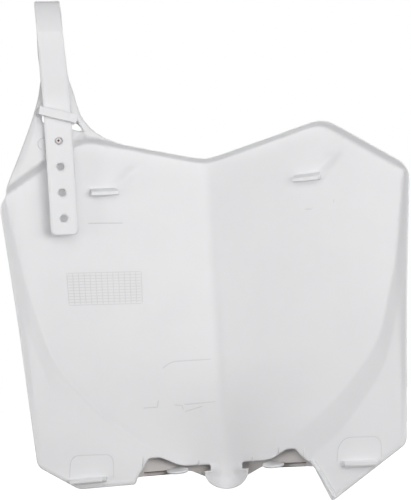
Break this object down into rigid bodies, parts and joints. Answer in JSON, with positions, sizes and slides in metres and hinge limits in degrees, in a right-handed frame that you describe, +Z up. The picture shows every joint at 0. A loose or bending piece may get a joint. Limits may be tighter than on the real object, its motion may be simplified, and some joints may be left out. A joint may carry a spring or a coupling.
{
  "type": "motorcycle front number plate",
  "caption": "White moulded front number plate for an off-road motorcycle, folded along its middle, with a strap that loops over the bar and seats at its foot.",
  "frame": {"origin": "midway between the two round lower seats, on their top faces", "axes": "+Z up, +Y forward out of the face for the number, +X to the right seen from behind"},
  "size_m": [0.2506, 0.0765, 0.3176],
  "materials": {
    "white_plastic": "fine satin as moulded, a little translucent"
  },
  "bodies": {
    "root": {"number_plate": "white_plastic"}
  },
  "joints": []
}
